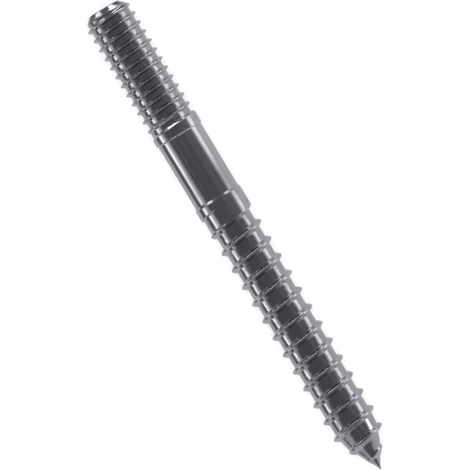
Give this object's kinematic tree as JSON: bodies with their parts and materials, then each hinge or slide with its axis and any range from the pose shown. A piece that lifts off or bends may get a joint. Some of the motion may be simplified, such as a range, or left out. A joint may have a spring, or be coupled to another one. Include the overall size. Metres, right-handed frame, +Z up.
{
  "type": "hanger bolt",
  "caption": "Hanger bolt: a machine-threaded end with a chamfer, a plain shank between two collars, and a coarse wood-screw thread running out to a cone point.",
  "frame": {"origin": "middle of the bolt's length and width, at the height it lies on: the bottom centre of its bounding box", "axes": "X is the bolt's own axis, lying down: +X points out of the machine-threaded end and -X out of the point. +Z is up."},
  "size_m": [0.065, 0.0062, 0.0062],
  "materials": {
    "steel": "bright zinc-plated steel, semi-polished"
  },
  "bodies": {
    "root": {"hanger_bolt": "steel"}
  },
  "joints": []
}
